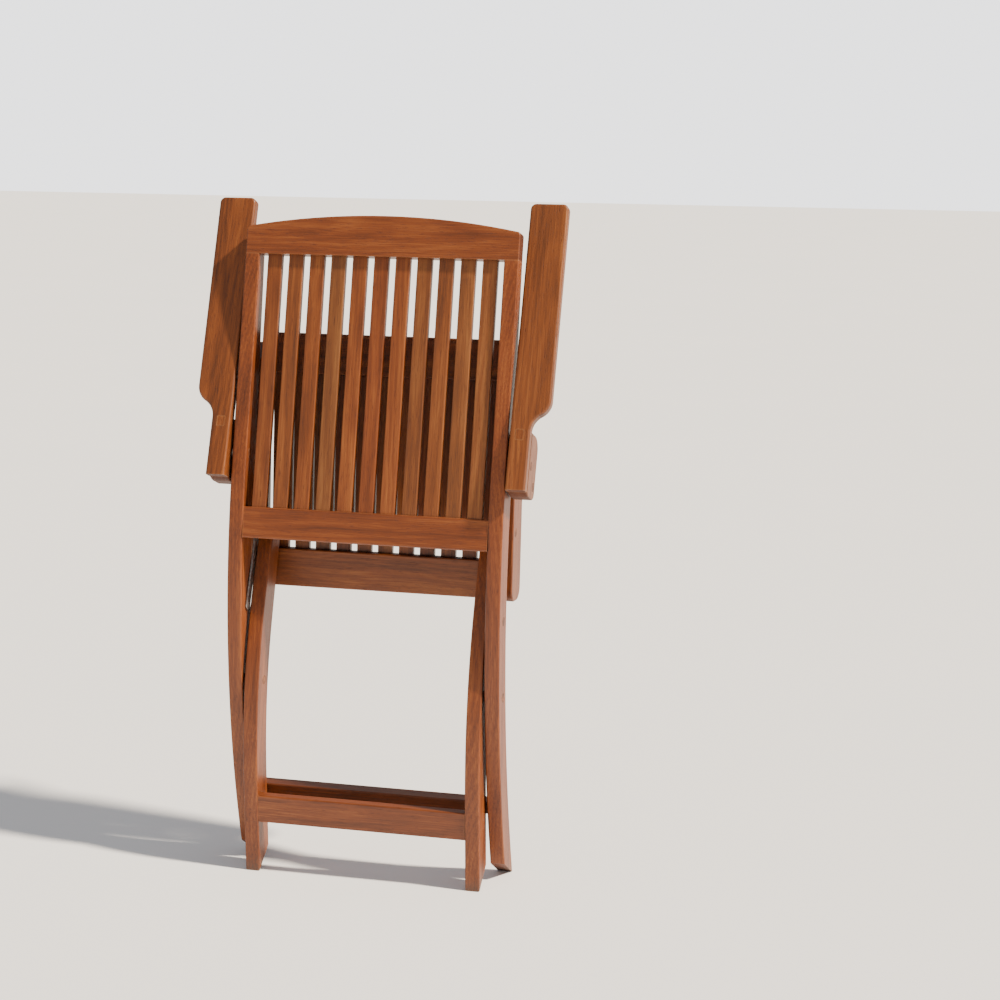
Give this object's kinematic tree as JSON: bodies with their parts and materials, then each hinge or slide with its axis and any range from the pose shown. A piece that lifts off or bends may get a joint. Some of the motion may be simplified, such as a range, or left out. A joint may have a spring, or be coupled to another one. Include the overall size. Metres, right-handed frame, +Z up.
{
  "type": "folding armchair",
  "caption": "Folding slatted garden armchair of teak, folded flat: crossed bowed legs, slatted back and seat, arms that swing down with steel straps as it opens.",
  "frame": {"origin": "on the ground, under the middle of the folded chair's width and depth", "axes": "+Z up, +X across the width, +Y towards the side the sitter faces"},
  "size_m": [0.581, 0.1864, 1.0854],
  "materials": {
    "teak_frame": "oiled teak, planed and sanded, satin",
    "teak_slats": "oiled teak slats with eased edges, satin",
    "teak_arms": "oiled teak, lighter boards, satin",
    "teak_plugs": "teak end-grain plugs over the bolts, satin",
    "zinc_plated_steel": "zinc-plated steel, dull"
  },
  "bodies": {
    "back_frame": {"left_stile": "teak_frame", "right_stile": "teak_frame", "top_rail": "teak_frame", "lower_back_rail": "teak_frame", "front_stretcher": "teak_frame", "back_slat_01": "teak_slats", "back_slat_02": "teak_slats", "back_slat_03": "teak_slats", "back_slat_04": "teak_slats", "back_slat_05": "teak_slats", "back_slat_06": "teak_slats", "back_slat_07": "teak_slats", "back_slat_08": "teak_slats", "back_slat_09": "teak_slats", "back_slat_10": "teak_slats", "back_slat_11": "teak_slats", "cross_bolts": "zinc_plated_steel", "arm_bolts": "zinc_plated_steel", "stile_pins": "zinc_plated_steel", "stile_washers": "zinc_plated_steel", "stile_plugs": "teak_plugs"},
    "rear_legs": {"left_rear_leg": "teak_frame", "right_rear_leg": "teak_frame", "rear_stretcher": "teak_frame", "rear_leg_plugs": "teak_plugs"},
    "seat": {"left_seat_rail": "teak_frame", "right_seat_rail": "teak_frame", "front_seat_rail": "teak_frame", "rear_seat_rail": "teak_frame", "seat_slat_01": "teak_slats", "seat_slat_02": "teak_slats", "seat_slat_03": "teak_slats", "seat_slat_04": "teak_slats", "seat_slat_05": "teak_slats", "seat_slat_06": "teak_slats", "seat_slat_07": "teak_slats", "seat_slat_08": "teak_slats", "seat_slat_09": "teak_slats", "seat_slat_10": "teak_slats", "seat_slat_11": "teak_slats", "seat_bolts": "zinc_plated_steel", "seat_washers": "zinc_plated_steel", "seat_pins": "zinc_plated_steel", "seat_rail_plugs": "teak_plugs"},
    "left_arm": {"left_arm_board": "teak_arms", "left_arm_ear": "teak_arms", "left_arm_plugs": "teak_plugs", "left_arm_pin": "zinc_plated_steel"},
    "left_seat_strap": {"left_seat_strap": "zinc_plated_steel", "left_seat_rivet": "zinc_plated_steel"},
    "left_arm_strap": {"left_arm_strap": "zinc_plated_steel", "left_arm_rivet": "zinc_plated_steel"},
    "right_arm": {"right_arm_board": "teak_arms", "right_arm_ear": "teak_arms", "right_arm_plugs": "teak_plugs", "right_arm_pin": "zinc_plated_steel"},
    "right_seat_strap": {"right_seat_strap": "zinc_plated_steel", "right_seat_rivet": "zinc_plated_steel"},
    "right_arm_strap": {"right_arm_strap": "zinc_plated_steel", "right_arm_rivet": "zinc_plated_steel"}
  },
  "joints": [
    {"name": "fold", "type": "hinge", "parent": "back_frame", "child": "rear_legs", "pos_m": [0, -0.05659, 0.315], "axis": [-1, 0, 0], "range_deg": [0, 66]},
    {"name": "seat_fold", "type": "hinge", "parent": "rear_legs", "child": "seat", "pos_m": [0, 0.01778, 0.5672], "axis": [1, 0, 0], "range_deg": [0, 133.01]},
    {"name": "left_arm_fold", "type": "hinge", "parent": "back_frame", "child": "left_arm", "pos_m": [0, -0.0389, 0.68443], "axis": [-1, 0, 0], "range_deg": [0, 98.01]},
    {"name": "left_seat_strap_turn", "type": "hinge", "parent": "back_frame", "child": "left_seat_strap", "pos_m": [0, -0.05859, 0.43907], "axis": [-1, 0, 0], "range_deg": [0, 83.97]},
    {"name": "left_arm_strap_turn", "type": "hinge", "parent": "left_arm", "child": "left_arm_strap", "pos_m": [0, -0.02311, 0.64889], "axis": [-1, 0, 0], "range_deg": [0, 40.36]},
    {"name": "right_arm_fold", "type": "hinge", "parent": "back_frame", "child": "right_arm", "pos_m": [0, -0.0389, 0.68443], "axis": [-1, 0, 0], "range_deg": [0, 98.01]},
    {"name": "right_seat_strap_turn", "type": "hinge", "parent": "back_frame", "child": "right_seat_strap", "pos_m": [0, -0.05859, 0.43907], "axis": [-1, 0, 0], "range_deg": [0, 83.97]},
    {"name": "right_arm_strap_turn", "type": "hinge", "parent": "right_arm", "child": "right_arm_strap", "pos_m": [0, -0.02311, 0.64889], "axis": [-1, 0, 0], "range_deg": [0, 40.36]}
  ],
  "couplings": [
    {"joint": "seat_fold", "follows": "fold", "ratio": 2.0152},
    {"joint": "left_arm_fold", "follows": "fold", "ratio": 1.4848},
    {"joint": "left_seat_strap_turn", "follows": "fold", "ratio": 1.272},
    {"joint": "left_arm_strap_turn", "follows": "fold", "ratio": 0.61124},
    {"joint": "right_arm_fold", "follows": "fold", "ratio": 1.4848},
    {"joint": "right_seat_strap_turn", "follows": "fold", "ratio": 1.272},
    {"joint": "right_arm_strap_turn", "follows": "fold", "ratio": 0.61124}
  ]
}
